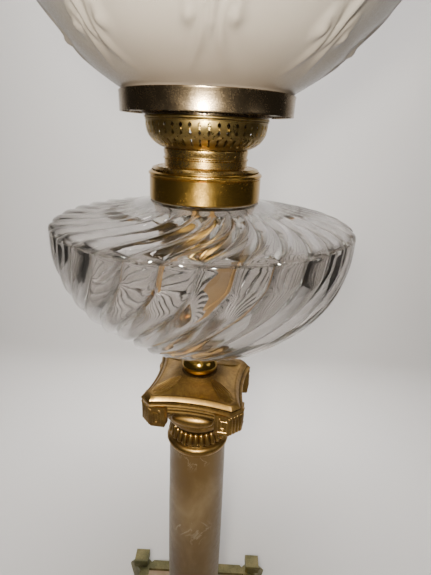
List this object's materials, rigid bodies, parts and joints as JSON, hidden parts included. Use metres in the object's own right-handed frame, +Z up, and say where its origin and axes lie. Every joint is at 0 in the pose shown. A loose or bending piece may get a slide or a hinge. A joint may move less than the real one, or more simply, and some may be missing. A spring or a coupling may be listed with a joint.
{
  "type": "oil lamp",
  "caption": "Oil lamp on an onyx column with a gilt capital and footed base, a swirl-ribbed glass reservoir, a flat-wick burner with winders, a glass chimney and an opal shade.",
  "frame": {"origin": "on the table, under the middle of the column, at the centre of the bounding box's bottom", "axes": "+Z up along the column; -Y towards the front, and the winder knobs stand out towards +Y; +X to the lamp's right seen from the front"},
  "size_m": [0.238, 0.238, 0.7635],
  "materials": {
    "gilt": "satin",
    "steel": "satin",
    "iron": "matte",
    "onyx": "gloss",
    "brass": "polished",
    "dull_brass": "satin",
    "dark_brass": "satin",
    "clear_glass": "gloss",
    "opal_glass": "satin",
    "plaster": "matte",
    "cotton": "matte"
  },
  "bodies": {
    "stand": {"foot_front_left": "gilt", "foot_front_right": "gilt", "foot_back_left": "gilt", "foot_back_right": "gilt", "knob_front_left": "gilt", "knob_front_right": "gilt", "knob_back_left": "gilt", "knob_back_right": "gilt", "base_frame": "gilt", "foot_screws": "steel", "stone_slab": "onyx", "clamp_bar": "iron", "rod_washer": "steel", "rod_nut": "steel", "tie_rod": "steel", "column_foot": "gilt", "column_shaft": "onyx", "neck_ring": "gilt", "capital": "gilt", "capital_cap": "gilt", "knuckle": "brass", "font_cup": "brass", "font": "clear_glass", "neck_cement": "plaster", "collar": "brass"},
    "burner": {"burner_flange": "brass", "burner_floor": "dull_brass", "burner_drum": "brass", "wick_tube_left": "dull_brass", "wick_tube_right": "dull_brass", "spindle_bushes": "dull_brass", "spindle_bracket": "dull_brass"},
    "left_wick": {"wick_left": "cotton"},
    "right_wick": {"wick_right": "cotton"},
    "left_winder": {"spindle_left": "steel", "spur_wheels_left": "dull_brass", "winder_knob_left": "brass"},
    "right_winder": {"spindle_right": "steel", "spur_wheels_right": "dull_brass", "winder_knob_right": "brass"},
    "gallery": {"basket": "dull_brass", "gallery_deck": "dull_brass", "chimney_prongs": "dull_brass", "burner_dome": "dull_brass"},
    "flue": {"chimney": "clear_glass"},
    "shade_carrier": {"shade_ring": "dark_brass", "ring_hub": "dark_brass", "ring_spokes": "dark_brass"},
    "lampshade": {"shade": "opal_glass"}
  },
  "joints": [
    {"name": "burner_lift", "type": "slide", "parent": "stand", "child": "burner", "axis": [0, 0, 1], "range_m": [0, 0.13]},
    {"name": "left_winder_turn", "type": "hinge", "parent": "burner", "child": "left_winder", "pos_m": [-0.0115, 0, 0.4954], "axis": [0, 1, 0], "range_deg": [-180, 90]},
    {"name": "right_winder_turn", "type": "hinge", "parent": "burner", "child": "right_winder", "pos_m": [0.0115, 0, 0.4954], "axis": [0, 1, 0], "range_deg": [-90, 180]},
    {"name": "left_wick_raise", "type": "slide", "parent": "burner", "child": "left_wick", "axis": [0, 0, 1], "range_m": [-0.007, 0.0139]},
    {"name": "right_wick_raise", "type": "slide", "parent": "burner", "child": "right_wick", "axis": [0, 0, 1], "range_m": [-0.007, 0.0139]},
    {"name": "gallery_lift", "type": "slide", "parent": "burner", "child": "gallery", "axis": [0, 0, 1], "range_m": [0, 0.05]},
    {"name": "chimney_lift", "type": "slide", "parent": "gallery", "child": "flue", "axis": [0, 0, 1], "range_m": [0, 0.16]},
    {"name": "ring_lift", "type": "slide", "parent": "gallery", "child": "shade_carrier", "axis": [0, 0, 1], "range_m": [0, 0.26]},
    {"name": "shade_lift", "type": "slide", "parent": "shade_carrier", "child": "lampshade", "axis": [0, 0, 1], "range_m": [0, 0.25]}
  ],
  "couplings": [
    {"joint": "left_wick_raise", "follows": "left_winder_turn", "m_per_rad": -0.0044},
    {"joint": "right_wick_raise", "follows": "right_winder_turn", "m_per_rad": 0.0044}
  ]
}
